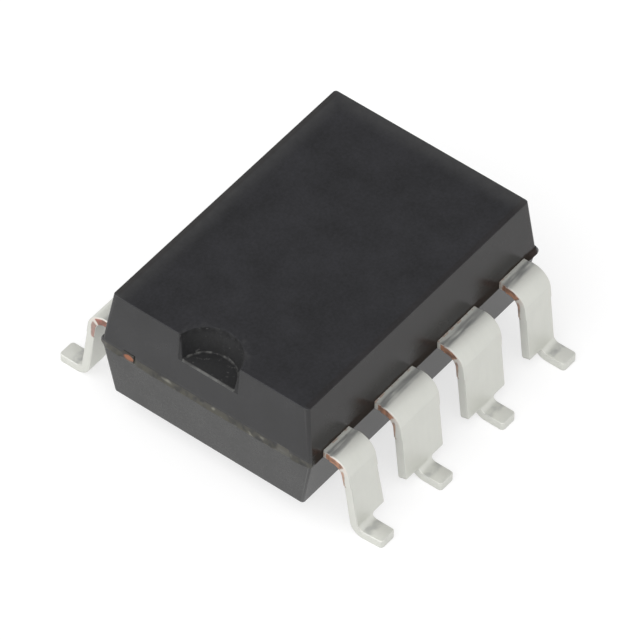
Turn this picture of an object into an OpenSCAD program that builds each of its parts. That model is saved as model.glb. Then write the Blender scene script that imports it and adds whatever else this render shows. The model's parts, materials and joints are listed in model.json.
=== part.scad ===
// Eight-lead gull-wing optocoupler with two channels.
// X runs along the package with the index notch at -X, and Z points up from the board.
// The origin is on the board, under the middle of the package.

/* [Moulding] */
// Length of both halves at the parting plane
body_l = 9.12; // [8.6:0.01:10]
// Width of both halves at the parting plane
body_w = 6.5; // [6:0.01:7.5]
// Height of the moulding above the lead frame
upper_h = 1.63; // [1.2:0.01:2.2]
// Height of the moulding below the lead frame
lower_h = 1.62; // [1.2:0.01:2.2]
// Draft of the two end faces, in degrees
end_draft = 5; // [2:0.5:8]
// Draft of the two long faces, in degrees
side_draft = 9.5; // [4:0.5:12]
// Radius of the upright edges
corner_r = 0.15; // [0.05:0.01:0.3]
// How far the flash at the parting plane stands out
flash_out = 0.09; // [0.03:0.01:0.15]
// Radius of the flash's corners
flash_r = 0.05; // [0.02:0.01:0.15]

/* [Index notch] */
// Diameter of the notch at the top face
notch_d = 1.84; // [1.2:0.01:2.4]
// Depth of the notch
notch_depth = 0.8; // [0.3:0.01:1]
// Draft of the notch wall, in degrees
notch_draft = 8; // [2:0.5:12]

/* [Leads] */
// Distance between neighbouring leads
pitch = 2.54; // [2.4:0.01:2.6]
// Thickness of the lead frame sheet
lead_t = 0.25; // [0.18:0.01:0.3]
// Width of a lead's shoulder and leg
lead_w = 1.52; // [1.2:0.01:1.7]
// Width of a foot
foot_w = 0.54; // [0.4:0.01:0.7]
// Straight run from the moulding to the upper bend
shoulder_l = 0.28; // [0.2:0.01:0.6]
// Inside radius of the upper bend
bend_r = 0.32; // [0.12:0.01:0.4]
// Inside radius of the bend above the foot
foot_bend_r = 0.18; // [0.08:0.01:0.25]
// Lean of the leg from upright, in degrees
leg_splay = 7; // [2:0.5:10]
// Height of the moulding's underside above the board
standoff = 0.67; // [0.5:0.01:0.9]
// Height above the board at which the leg narrows to the foot
neck_z = 0.31; // [0.28:0.01:0.8]
// Radius of the inner corners where the leg narrows
neck_r = 0.1; // [0.04:0.01:0.15]
// Radius of the outer corners where the leg narrows
ear_r = 0.06; // [0.02:0.01:0.1]
// Straight length of a foot past its bend
foot_l = 0.55; // [0.4:0.01:0.9]
// Corner radius at a foot's tip
tip_r = 0.1; // [0.02:0.01:0.2]
// How far the sheared dam bar stands out from a lead's edge
dam_out = 0.025; // [0.01:0.005:0.08]
// Distance from the moulding to the dam bar
dam_gap = 0.22; // [0.1:0.01:0.3]
// Height of the dam bar's stub below the top of the lead
dam_h = 0.85; // [0.5:0.01:1.2]
// How far lead 1's foot is bent sideways, towards lead 2
lead_1_lean = 0.15; // [0:0.01:0.2]

/* [Lead frame inside] */
// How far a lead keeps its full width inside the moulding
anchor_l = 0.35; // [0.2:0.01:0.5]
// Width of a tie bar
tie_w = 0.36; // [0.2:0.01:0.5]
// Distance from the moulding's long side to a tie bar's middle
tie_inset = 0.8; // [0.7:0.01:0.95]
// Distance from the moulding's long side to the inner bend of a lead
ramp_inset = 1.25; // [1.15:0.01:1.4]
// Width of a lead's neck inside the moulding
neck_w = 0.8; // [0.5:0.01:1]
// Gap between a paddle and the finger beside it
frame_gap = 0.2; // [0.12:0.01:0.25]
// Rim of a paddle around its cell
pad_rim = 0.05; // [0.02:0.01:0.1]
// Width of the paddle that carries an emitter
led_pad = 1.34; // [1.26:0.01:1.5]
// How far a finger reaches past the middle of the package
finger_reach = 0.25; // [0.1:0.01:0.4]

/* [Chips] */
// Side of an emitter chip
led_size = 0.35; // [0.25:0.01:0.5]
// Thickness of an emitter chip
led_t = 0.25; // [0.15:0.01:0.3]
// Length of a cell array along the package
cell_l = 1.6; // [1.3:0.01:1.7]
// Width of a cell array across the package
cell_w = 1.9; // [1.5:0.01:2.1]
// Thickness of a cell array
cell_t = 0.25; // [0.15:0.01:0.3]
// Gap between an emitter and its cell array
light_gap = 0.3; // [0.25:0.01:0.45]
// Diameter of the clear silicone between them
guide_d = 1.24; // [0.8:0.01:1.26]

/* [Bond wires] */
// Diameter of a bond wire
wire_d = 0.05; // [0.03:0.005:0.06]
// Rise of a bond wire's loop
loop_h = 0.2; // [0.12:0.01:0.2]
// Distance from a cell array's edge to its bonds
bond_inset = 0.12; // [0.08:0.01:0.15]

/* [Hidden] */
$fn = 48;
arc_steps = 8;
wire_sides = 8;
wire_steps = 10;
cut_over = 0.2;
reach = 20;
row_leads = 4;

// Heights above the board
lead_z = standoff + lower_h + lead_t / 2;
lead_top_z = lead_z + lead_t / 2;
top_z = lead_top_z + upper_h;
led_face_z = lead_z + light_gap / 2;
cell_face_z = lead_z - light_gap / 2;
led_pad_z = led_face_z + led_t;
cell_pad_z = cell_face_z - cell_t;
raise = led_pad_z + lead_t / 2 - lead_z;
drop = cell_pad_z - lead_t / 2 - lead_z;

// Places along the package, measured from its middle
inner_x = pitch / 2;
corner_x = (row_leads - 1) / 2 * pitch;
channel_x = pitch;
cell_pad_end = channel_x + cell_l / 2 + pad_rim;
finger_x0 = cell_pad_end + frame_gap;
finger_x1 = corner_x + foot_w / 2;
finger_mid = (finger_x0 + finger_x1) / 2;
flash_l = body_l + 2 * flash_out;
flash_w = body_w + 2 * flash_out;

// Places across the package, measured outwards from its middle
anchor_u = body_w / 2 - anchor_l;
ramp_u = body_w / 2 - ramp_inset;
tie_u = body_w / 2 - tie_inset;
leg_turn = 90 - leg_splay;
bend_u = body_w / 2 + shoulder_l + (bend_r + lead_t / 2) * tan(leg_turn / 2);
heel_u = bend_u + (lead_z - lead_t / 2) * tan(leg_splay);
foot_start_u = heel_u + (foot_bend_r + lead_t / 2) * tan(leg_turn / 2);
tip_u = foot_start_u + foot_l;
cell_bond_y = cell_w / 4;

moulding_black = [0.13, 0.13, 0.135];
tin = [0.80, 0.80, 0.77];
gold = [0.85, 0.65, 0.25];
emitter_grey = [0.30, 0.27, 0.30];
cell_blue = [0.13, 0.16, 0.26];
silicone = [0.85, 0.90, 0.92, 0.5];

LEADS = [for (n = [1 : 2 * row_leads]) str("lead_", n)];
CHANNELS = ["a", "b"];

// Plane geometry
function unit(v) = v / norm(v);
function left_of(v) = [-v[1], v[0]];
function turned(v, a) = [v[0] * cos(a) - v[1] * sin(a), v[0] * sin(a) + v[1] * cos(a)];
function turn_between(a, b) = atan2(a[0] * b[1] - a[1] * b[0], a * b);

// One corner of an outline, as an arc of radius r between the sides from p to q and from q to s
function corner_arc(p, q, s, r) =
    let (
        a = unit(q - p),
        turn = turn_between(a, unit(s - q)),
        side = sign(turn),
        centre = q - a * r * tan(abs(turn) / 2) + left_of(a) * side * r
    )
    [for (i = [0 : arc_steps]) centre - turned(left_of(a) * side * r, turn * i / arc_steps)];

// A closed outline with each corner rounded to its own radius
function rounded(points, radii) =
    let (n = len(points))
    [for (i = [0 : n - 1])
        each radii[i] > 0
            ? corner_arc(points[(i + n - 1) % n], points[i], points[(i + 1) % n], radii[i])
            : [points[i]]];

function rectangle(l, w) = [[-l / 2, -w / 2], [l / 2, -w / 2], [l / 2, w / 2], [-l / 2, w / 2]];

// A path moved sideways by d, with mitred corners
function path_beside(path, d) =
    let (
        n = len(path),
        ways = [for (i = [0 : n - 2]) unit(path[i + 1] - path[i])]
    )
    [for (i = [0 : n - 1])
        let (
            before = ways[max(i - 1, 0)],
            after = ways[min(i, n - 2)],
            mitre = unit(left_of(before) + left_of(after))
        )
        path[i] + mitre * d / (mitre * left_of(after))];

// Radii of one side of a bent strip, from the radii at its middle
function radii_beside(path, radii, d) =
    [for (i = [0 : len(path) - 1])
        i == 0 || i == len(path) - 1 || radii[i] == 0
            ? 0
            : radii[i] - d * sign(turn_between(path[i] - path[i - 1], path[i + 1] - path[i]))];

function reversed(list) = [for (i = [len(list) - 1 : -1 : 0]) list[i]];

// Section of a bent strip of sheet, outwards across the package and up
function strip(path, radii, t) =
    rounded(
        concat(path_beside(path, t / 2), reversed(path_beside(path, -t / 2))),
        concat(radii_beside(path, radii, t / 2), reversed(radii_beside(path, radii, -t / 2)))
    );

// Middle of a lead's sheet, from its inner end at end_u to the foot's tip, with its inside part offset by rise
function lead_path(end_u, rise) = [
    [end_u, lead_z + rise],
    [ramp_u - abs(rise), lead_z + rise],
    [ramp_u, lead_z],
    [bend_u, lead_z],
    [heel_u, lead_t / 2],
    [tip_u, lead_t / 2]
];
lead_radii = [0, lead_t, lead_t, bend_r + lead_t / 2, foot_bend_r + lead_t / 2, 0];

// The side view of a lead as a wide sheet across the row on the -Y side
module folded_sheet(end_u, rise)
    rotate([90, 0, -90])
        linear_extrude(reach, center = true)
            polygon(strip(lead_path(end_u, rise), lead_radii, lead_t));

// A plan drawn along the package and outwards, as a block on the -Y side
module plan_block(points)
    linear_extrude(reach, center = true)
        mirror([0, 1, 0])
            polygon(points);

// The front view of a lead's outer part, with a shoulder on one side or on both.
// A leg that leans carries its foot sideways, towards the middle of the package.
module front_block(corner, lean) {
    w = lead_w / 2;
    f = foot_w / 2;
    knee_z = lead_top_z - dam_h;
    inner_side = [[-w, reach], [-w, knee_z], [-w - lean, neck_z], [-f - lean, neck_z], [-f - lean, -cut_over]];
    inner_radii = [0, 0, ear_r, neck_r, 0];
    corner_side = [[f - lean, -cut_over], [f - lean, neck_z], [f, knee_z], [f, reach]];
    outer_side = corner ? corner_side : [for (p = reversed(inner_side)) [-p[0], p[1]]];
    outer_radii = corner ? [0, 0, 0, 0] : reversed(inner_radii);
    translate([0, -anchor_u, 0])
        rotate([90, 0, 0])
            linear_extrude(reach)
                polygon(rounded(concat(inner_side, outer_side), concat(inner_radii, outer_radii)));
}

// Plan of a foot's round tip, wide enough to leave the leg whole
module foot_block(lean) {
    f = foot_w / 2;
    translate([-lean, 0, 0])
        plan_block(rounded(
            [[-lead_w, 0], [lead_w, 0], [lead_w, foot_start_u], [f, foot_start_u],
                [f, tip_u], [-f, tip_u], [-f, foot_start_u], [-lead_w, foot_start_u]],
            [0, 0, 0, 0, tip_r, tip_r, 0, 0]
        ));
}

// Stubs that the sheared dam bar leaves on a lead's edges
module dam_block(corner) {
    outer = (corner ? foot_w : lead_w) / 2 + dam_out;
    inner = lead_w / 2 + dam_out;
    translate([-inner, -reach, lead_top_z - dam_h])
        cube([inner + outer, reach - body_w / 2 - dam_gap, reach]);
}

module outer_blank(corner, lean) {
    intersection() {
        front_block(corner, lean);
        foot_block(lean);
    }
    dam_block(corner);
}

function box_plan(x0, x1, u0, u1) = [[x0, u0], [x1, u0], [x1, u1], [x0, u1]];

// An inner lead, which carries a chip on its paddle
module paddle_lead(pad_end_x, pad_reach, rise)
    intersection() {
        folded_sheet(-pad_reach, rise);
        union() {
            translate([inner_x, 0, 0]) outer_blank(false, 0);
            plan_block(box_plan(inner_x - neck_w / 2, inner_x + neck_w / 2, 0, anchor_u + cut_over));
            plan_block(box_plan(inner_x - neck_w / 2, pad_end_x, -reach, ramp_u - abs(rise) - lead_t));
        }
    }

// A corner lead, with a finger beside the paddle and a tie bar to the end face
module finger_lead(rise, lean)
    intersection() {
        folded_sheet(-finger_reach, rise);
        union() {
            translate([corner_x, 0, 0]) outer_blank(true, lean);
            plan_block(box_plan(finger_x0, finger_x1, -reach, anchor_u + cut_over));
            plan_block(box_plan(corner_x, flash_l / 2, tie_u - tie_w / 2, tie_u + tie_w / 2));
        }
    }

// Shapes drawn for the +X half stand on the -X half as their mirror image
module on_half(positive) {
    if (positive) children();
    else mirror([1, 0, 0]) children();
}

// Leads count round the package from the corner beside the notch
module lead(n) {
    place = (n - 1) % row_leads;
    output = n > row_leads;
    color(tin)
        rotate([0, 0, output ? 180 : 0])
            on_half(place > 1)
                if (place == 0 || place == row_leads - 1)
                    finger_lead(output ? drop : raise, n == 1 ? lead_1_lean : 0);
                else if (output) paddle_lead(cell_pad_end, cell_w / 2 + pad_rim, drop);
                else paddle_lead(channel_x + led_pad / 2, led_pad / 2, raise);
}

// Chips, silicone and wires of one channel
module led(channel)
    color(emitter_grey)
        on_half(channel == "b")
            translate([channel_x - led_size / 2, -led_size / 2, led_face_z])
                cube([led_size, led_size, led_t]);

module cell(channel)
    color(cell_blue)
        on_half(channel == "b")
            translate([channel_x - cell_l / 2, -cell_w / 2, cell_pad_z])
                cube([cell_l, cell_w, cell_t]);

module light_guide(channel)
    color(silicone)
        difference() {
            on_half(channel == "b")
                translate([channel_x, 0, cell_face_z])
                    cylinder(d = guide_d, h = led_pad_z - cell_face_z);
            led(channel);
            led_wire(channel);
        }

// A wire that leaves one bond upright, loops by h and comes down upright on the other
module bond_wire(from, to, y, h) {
    rings = [for (i = [0 : wire_steps])
        let (
            a = 180 * i / wire_steps,
            middle = from + (to - from) * (1 - cos(a)) / 2 + [0, h * sin(a)],
            way = unit((to - from) * sin(a) / 2 + [0, h * cos(a)]),
            side = left_of(way)
        )
        [for (k = [0 : wire_sides - 1])
            let (b = 360 * k / wire_sides, p = middle + side * wire_d / 2 * cos(b))
            [p[0], y + wire_d / 2 * sin(b), p[1]]]];
    walls = [for (i = [0 : wire_steps - 1], k = [0 : wire_sides - 1])
        let (m = (k + 1) % wire_sides)
        [i * wire_sides + k, i * wire_sides + m, (i + 1) * wire_sides + m, (i + 1) * wire_sides + k]];
    first_end = [for (k = [wire_sides - 1 : -1 : 0]) k];
    last_end = [for (k = [0 : wire_sides - 1]) wire_steps * wire_sides + k];
    color(gold)
        polyhedron([for (ring = rings) each ring], concat(walls, [first_end, last_end]));
}

module led_wire(channel)
    on_half(channel == "b")
        bond_wire([channel_x, led_face_z], [finger_mid, led_pad_z], 0, -loop_h);

module cell_inner_wire(channel)
    on_half(channel == "b")
        bond_wire([channel_x - cell_l / 2 + bond_inset, cell_face_z], [inner_x, cell_pad_z], cell_bond_y, loop_h);

module cell_outer_wire(channel)
    on_half(channel == "b")
        bond_wire([channel_x + cell_l / 2 - bond_inset, cell_face_z], [finger_mid, cell_pad_z], cell_bond_y, loop_h);

// One drafted half of the moulding, from the parting plane outwards
module drafted_half(h) {
    far_l = body_l - 2 * h * tan(end_draft);
    far_w = body_w - 2 * h * tan(side_draft);
    linear_extrude(h, scale = [far_l / body_l, far_w / body_w], slices = 1)
        polygon(rounded(rectangle(body_l, body_w), [for (i = [1 : 4]) corner_r]));
}

module moulding() {
    translate([0, 0, lead_top_z]) drafted_half(upper_h);
    translate([0, 0, lead_z - lead_t / 2])
        linear_extrude(lead_t)
            polygon(rounded(rectangle(flash_l, flash_w), [for (i = [1 : 4]) flash_r]));
    translate([0, 0, lead_z - lead_t / 2]) mirror([0, 0, 1]) drafted_half(lower_h);
}

module index_notch() {
    floor_r = notch_d / 2 - notch_depth * tan(notch_draft);
    translate([-body_l / 2, 0, top_z - notch_depth])
        cylinder(h = notch_depth + cut_over, r1 = floor_r, r2 = notch_d / 2 + cut_over * tan(notch_draft));
}

module body()
    color(moulding_black)
        difference() {
            moulding();
            index_notch();
            for (n = [1 : 2 * row_leads]) lead(n);
            for (c = CHANNELS) {
                led(c);
                cell(c);
                light_guide(c);
                led_wire(c);
                cell_inner_wire(c);
                cell_outer_wire(c);
            }
        }

body();
for (n = [1 : 2 * row_leads]) lead(n);
for (c = CHANNELS) {
    led(c);
    cell(c);
    light_guide(c);
    led_wire(c);
    cell_inner_wire(c);
    cell_outer_wire(c);
}
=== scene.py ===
"""A moulded optocoupler with gull-wing leads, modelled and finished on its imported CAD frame."""

import json
from math import cos, pi, radians, sin, tan
from types import SimpleNamespace

import bmesh
import bpy
from bpy.props import FloatProperty, FloatVectorProperty, PointerProperty
from bpy.types import Operator, Panel, PropertyGroup, Scene
from mathutils import Matrix, Vector, noise


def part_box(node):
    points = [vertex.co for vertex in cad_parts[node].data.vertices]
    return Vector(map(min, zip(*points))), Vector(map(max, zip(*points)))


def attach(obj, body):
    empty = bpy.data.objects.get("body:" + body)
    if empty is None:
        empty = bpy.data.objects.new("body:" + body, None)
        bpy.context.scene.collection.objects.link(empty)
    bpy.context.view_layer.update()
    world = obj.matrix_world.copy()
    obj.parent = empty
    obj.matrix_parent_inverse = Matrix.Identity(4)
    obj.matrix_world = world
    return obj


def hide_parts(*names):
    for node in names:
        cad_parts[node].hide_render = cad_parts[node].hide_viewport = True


bl_info = {
    "name": "Optocoupler",
    "version": (1, 0, 0),
    "blender": (4, 5, 0),
    "location": "View3D > Sidebar > Optocoupler",
    "description": "Models a moulded optocoupler with formed leads on its CAD frame, in a small studio",
    "category": "Object",
}

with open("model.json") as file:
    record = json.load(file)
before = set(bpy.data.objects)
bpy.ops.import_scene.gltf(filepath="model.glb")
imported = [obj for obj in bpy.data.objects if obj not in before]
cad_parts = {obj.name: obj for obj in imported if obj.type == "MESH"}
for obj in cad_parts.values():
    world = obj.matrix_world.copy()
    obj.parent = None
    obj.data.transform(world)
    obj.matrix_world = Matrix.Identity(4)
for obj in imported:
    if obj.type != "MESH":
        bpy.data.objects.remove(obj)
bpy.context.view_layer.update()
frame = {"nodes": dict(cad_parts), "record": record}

MM = 0.001
ROW_LEADS = 4
WHITE = (1, 1, 1, 1)
RESIN_IOR = 1.46
SILICONE_IOR = 1.41

# Fineness of the meshes
FOLD_STEPS = 10
NOTCH_SIDES = 48
CORNER_STEPS = 5
EDGE_STEPS = 3
TIP_STEPS = 6
FLASH_CUTS = 90

# Heights of the rings that shape the flash, as shares of its own height, and where its burr ends
FLASH_RINGS = (0.02, 0.34, 0.66, 0.98)
BURR_TOP = FLASH_RINGS[2]
BURR_CURVE = 1.5

# Edges past these angles are rounded, or shaded sharp
CREASE = radians(30)
SHARP = radians(40)

# Points closer than this are taken as one
NEAR = 1e-7

body_low, body_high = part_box("body")
lead_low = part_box("lead_2")[0]
feet = {mount["name"]: mount["pos_m"] for mount in frame["record"]["mounts"]}
pitch = feet["foot_3"][0] - feet["foot_2"][0]


def length(name, description, millimetres):
    """A setting for a length, in millimetres."""
    return FloatProperty(
        name=name, description=description, default=millimetres * MM, min=0, unit="LENGTH", precision=6
    )


def angle(name, description, degrees):
    """A setting for an angle, in degrees."""
    return FloatProperty(
        name=name, description=description, default=radians(degrees), unit="ROTATION"
    )


def share(name, description, default):
    """A setting from 0 to 1."""
    return FloatProperty(
        name=name, description=description, default=default, min=0, max=1, subtype="FACTOR"
    )


def colour(name, description, default):
    """A setting for a colour."""
    return FloatVectorProperty(
        name=name, description=description, default=default, min=0, max=1, size=3, subtype="COLOR"
    )


class MouldingSizes(PropertyGroup):
    """Sizes of the moulded package."""

    flash: length("Flash", "Most that the flash stands out of a long side", 0.09)
    end_flash: length("End flash", "Most that the flash stands out of an end face", 0.065)
    trimmed_flash: length("Trimmed flash", "How far the flash stands out between the leads", 0.01)
    kept_flash: length("Kept flash", "Length of whole flash that is left at a corner", 0.3)
    flash_fade: length("Flash fade", "Length over which the kept flash runs out", 0.15)
    worn_flash: share("Worn flash", "Share of the flash left along its upper and lower edges", 0.4)
    tie_burr: share("Tie bar burr", "Share of the burr left at the output row's tie bars", 0.3)
    ragged: length("Ragged edge", "How far the flash's edge wanders", 0.02)
    ragged_grain: length("Ragged grain", "Length of the flash's nicks", 0.3)
    tie_inset: length("Tie bar inset", "Distance from the long side to a tie bar's middle", 0.84)
    tie_break: length("Tie bar break", "Half the break in the flash at a tie bar", 0.24)
    upper_height: length("Upper height", "Height of the half above the leads", 1.63)
    lower_height: length("Lower height", "Height of the half below the leads", 1.62)
    end_draft: angle("End draft", "Lean of the end faces", 4.7)
    side_draft: angle("Side draft", "Lean of the long sides below the leads", 10)
    upper_side_draft: angle("Upper side draft", "Lean of the long sides above the leads", 7.7)
    corner_radius: length("Corner radius", "Radius of the upright corners", 0.09)
    top_radius: length("Top edge radius", "Radius of the edges round the top and the notch", 0.025)
    bottom_radius: length("Bottom edge radius", "Radius of the edges round the underside", 0.045)
    notch_diameter: length("Notch diameter", "Diameter of the index notch at the top", 1.84)
    notch_depth: length("Notch depth", "Depth of the index notch", 0.8)
    notch_draft: angle("Notch draft", "Lean of the notch's wall", 8)


class LeadSizes(PropertyGroup):
    """Sizes of the stamped and folded leads."""

    thickness: length("Thickness", "Thickness of the lead frame's sheet", 0.25)
    width: length("Width", "Width of an inner lead at its shoulder", 1.52)
    foot_width: length("Foot width", "Width of a foot", 0.54)
    shoulder: length("Shoulder", "Flat length between the package and the bend", 0.28)
    bend_radius: length("Bend radius", "Inside radius of the upper bend", 0.32)
    foot_bend_radius: length("Foot bend radius", "Inside radius of the bend at the foot", 0.18)
    splay: angle("Splay", "How far a leg leans outwards", 7)
    neck_height: length("Neck height", "Height above the board at which a leg narrows", 0.31)
    neck_radius: length("Neck radius", "Radius between a leg and its foot", 0.1)
    ear_radius: length("Ear radius", "Radius at a leg's lower corners", 0.06)
    tip_radius: length("Tip radius", "Radius at a foot's tip", 0.1)
    edge_radius: length("Edge radius", "Rounding of the sheet's edges", 0.024)
    stub: length("Stub", "How far the sheared dam bar stands out from a lead's edge", 0.025)
    stub_gap: length("Stub gap", "Distance from the package to the dam bar", 0.22)
    stub_height: length("Stub height", "Height of the dam bar's stub below the lead's top", 0.85)
    anchor: length("Anchor", "How far a lead keeps its width inside the package", 0.35)
    tie_width: length("Tie bar width", "Width of a tie bar", 0.36)
    tie_end: length("Tie bar end", "How far the output row's tie bars stand out", 0.035)
    flush_tie_end: length("Flush tie bar end", "How far the input row's tie bars stand out", 0.004)
    ramp_inset: length("Ramp inset", "Distance from the long side to a lead's inner bend", 1.25)
    ramp_rise: length("Ramp rise", "Step of a paddle above or below the leads", 0.525)
    neck_width: length("Neck width", "Width of a lead's neck inside the package", 0.8)
    finger_width: length("Finger width", "Width of the finger beside a paddle", 0.49)
    finger_reach: length("Finger reach", "How far a finger reaches past the middle", 0.25)
    emitter_paddle: length("Emitter paddle", "Width of the paddle under an emitter", 1.34)
    cell_paddle_length: length("Cell paddle length", "Length of the paddle under a cell array", 1.7)
    cell_paddle_width: length("Cell paddle width", "Width of the paddle under a cell array", 2.0)


class Finishes(PropertyGroup):
    """Colours and gloss of the part."""

    resin: colour("Resin", "Black moulding compound", (0.0095, 0.0095, 0.0102))
    top_resin: colour("Top resin", "Moulding compound on the top face", (0.0095, 0.0095, 0.0112))
    # Painted light: a lighter tone for the lower half of the end faces.
    lit_end_resin: colour("Dusty resin", "Lower half of the end faces", (0.02, 0.02, 0.0195))
    # Painted sheen: a lighter tone laid on the upright corners and along the top's far edges.
    painted_sheen_resin: colour("Worn resin", "Rubbed corners and top edges", (0.042, 0.042, 0.0425))
    # Dark resin for the bleed at the leads, also laid on the long sides as painted shade.
    side_bleed_and_shade: colour("Side bleed", "Resin bled between the leads", (0.027, 0.021, 0.0175))
    corner_bleed: colour("Corner bleed", "Flash left at the far corners", (0.043, 0.033, 0.03))
    end_bleed: colour("End bleed", "Resin bled along the end faces", (0.06, 0.057, 0.045))
    # Pale tone for scuffing round the notch, also used for painted highlights there.
    scuff_and_highlight: colour("Scuff", "Scuffed resin round the notch", (0.2, 0.2, 0.19))
    speck: colour("Speck", "Pale chips in the seam", (0.34, 0.33, 0.28))
    bleed_roughness: share("Bleed roughness", "Roughness of the bled resin", 0.85)
    bleed_gloss: share("Bleed gloss", "Specular level of the bled resin", 0.12)
    side_roughness: share("Side roughness", "Roughness of the drafted sides", 0.2)
    top_roughness: share("Top roughness", "Roughness of the top face", 0.42)
    notch_roughness: share("Notch roughness", "Roughness of the index notch", 0.6)
    tin: colour("Tin", "Matte tin plate", (0.745, 0.75, 0.7))
    tin_roughness: share("Tin roughness", "Roughness of the tin plate", 0.45)
    tin_metal: share("Tin metal", "How metallic the matte tin plate looks", 0.55)
    burnish: colour("Burnish", "Tin rubbed smooth on a shoulder", (0.62, 0.63, 0.61))
    burnish_roughness: share("Burnish roughness", "Roughness of the rubbed tin", 0.28)
    burnish_metal: share("Burnish metal", "How metallic the rubbed tin looks", 0.85)
    copper: colour("Copper", "Freshly sheared copper", (0.52, 0.265, 0.165))
    red_copper: colour("Red copper", "Sheared copper of the back row", (0.41, 0.155, 0.12))
    tie_copper: colour("Tie bar copper", "Sheared end of a tie bar", (0.31, 0.112, 0.05))
    old_copper: colour("Old copper", "Tarnished copper", (0.21, 0.12, 0.085))
    smear: colour("Smear", "Tin smeared over sheared copper", (0.8, 0.71, 0.65))
    gold: colour("Gold", "Bond wires", (0.85, 0.62, 0.24))
    emitter: colour("Emitter", "Emitter chips", (0.3, 0.27, 0.3))
    cell: colour("Cell", "Photovoltaic cell arrays", (0.02, 0.03, 0.08))
    silicone: colour("Silicone", "Clear silicone over an emitter", (0.85, 0.9, 0.92))


class StudioSettings(PropertyGroup):
    """Floor, light and camera."""

    floor_colour: colour("Floor", "Pale floor", (0.4, 0.4, 0.4))
    floor_glow: share("Floor glow", "What the camera and reflections see on top of the floor", 0.66)
    floor_reach: length("Floor reach", "Distance from the part to the floor's edges", 600)
    sky: share("Sky", "Brightness of the studio's walls", 0.9)
    back_sky: share("Back", "Brightness of the dim wall behind the part", 0.36)
    lamp_power: FloatProperty(
        name="Lamp", description="Power of the softbox on the left", default=1.7, min=0, unit="POWER"
    )
    lamp_size: length("Lamp size", "Width of the softbox", 800)
    lamp_place: FloatVectorProperty(
        name="Lamp place",
        description="Place of the softbox, which faces the part",
        default=(-0.28, 0.06, 0.25),
        subtype="TRANSLATION",
    )
    azimuth: angle("Azimuth", "Camera's turn round the part", -53.73)
    elevation: angle("Elevation", "Camera's height above the horizon", 47.96)
    roll: angle("Roll", "Camera's turn about its own axis", 2.04)
    distance: length("Distance", "From the camera to the part", 200)
    view_width: length("View width", "Width of the view at the part", 15.869)
    aim_height: length("Aim height", "Height of the point that the camera is aimed by", 2)
    aim_up: length("Aim up", "That point's place above the view's middle", 0.341)


def rgba(tone):
    """A tone as a socket's colour."""
    return (*tone, 1.0)


def darker(tone, amount):
    """A tone scaled down."""
    return [part * amount for part in tone]


class Value:
    """A shader socket, whose arithmetic adds Math nodes."""

    def __init__(self, graph, socket):
        self.graph = graph
        self.socket = socket

    def math(self, operation, *others):
        """A Math node of this value and others."""
        return self.graph.node("Math", dict(enumerate((self, *others))), operation=operation)

    def __add__(self, other):
        return self.math("ADD", other)

    __radd__ = __add__

    def __sub__(self, other):
        return self.math("SUBTRACT", other)

    def __rsub__(self, other):
        return self.graph.node("Math", {0: other, 1: self}, operation="SUBTRACT")

    def __mul__(self, other):
        return self.math("MULTIPLY", other)

    def __abs__(self):
        return self.math("ABSOLUTE")

    def over(self, low, high):
        """Rises smoothly from 0 at low to 1 at high."""
        sockets = {"Value": self, "From Min": low, "From Max": high}
        return self.graph.node("MapRange", sockets, interpolation_type="SMOOTHSTEP")

    def between(self, low, high, soft):
        """One from low to high, with soft edges."""
        return self.over(low - soft, low + soft) * (1 - self.over(high - soft, high + soft))


class Graph:
    """The node tree of one material, or of the world."""

    def __init__(self, owner):
        owner.use_nodes = True
        self.tree = owner.node_tree
        self.tree.nodes.clear()

    def node(self, kind, sockets, output=0, **settings):
        """Adds a shader node, with its settings first and then its sockets' values or links."""
        made = self.tree.nodes.new("ShaderNode" + kind)
        for name, value in settings.items():
            setattr(made, name, value)
        for name, value in sockets.items():
            if isinstance(value, Value):
                self.tree.links.new(value.socket, made.inputs[name])
            else:
                made.inputs[name].default_value = value
        return Value(self, made.outputs[output]) if made.outputs else None

    def parts(self, vector):
        """The three numbers of a vector."""
        return [self.node("SeparateXYZ", {"Vector": vector}, axis) for axis in "XYZ"]

    def flat(self, x, y):
        """A vector of two numbers."""
        return self.node("CombineXYZ", {"X": x, "Y": y})

    def length(self, x, y):
        """The length of a vector of two numbers."""
        return self.node("VectorMath", {0: self.flat(x, y)}, "Value", operation="LENGTH")

    def place(self):
        """The point's own place on the part, in metres."""
        return self.node("TexCoord", {}, "Object")

    def noise(self, vector, grain, detail=2.0):
        """Noise from 0 to 1 with features of about one grain, in millimetres."""
        sockets = {"Vector": vector, "Scale": 1 / (grain * MM), "Detail": detail}
        return self.node("TexNoise", sockets, "Fac")

    def mix(self, share_of_second, first, second):
        """A mix of two colours, each of them a shader value or a tone."""
        pair = [tone if isinstance(tone, Value) else rgba(tone) for tone in (first, second)]
        sockets = {"Factor": share_of_second, 6: pair[0], 7: pair[1]}
        return self.node("Mix", sockets, 2, data_type="RGBA")

    def scaled(self, tone, amount):
        """A colour made lighter or darker."""
        return self.node("VectorMath", {0: tone, "Scale": amount}, "Vector", operation="SCALE")

    def bump(self, height, depth, strength):
        """A normal tilted by a height from 0 to 1 that stands for a depth in millimetres."""
        return self.node("Bump", {"Height": height, "Distance": depth * MM, "Strength": strength})

    def shader(self, **sockets):
        """A Principled shader, with words of its socket names joined by underscores."""
        named = {name.replace("_", " "): value for name, value in sockets.items()}
        return self.node("BsdfPrincipled", named)

    def surface(self, shader):
        """Sends a shader to the material's surface."""
        self.node("OutputMaterial", {"Surface": shader})


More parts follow.
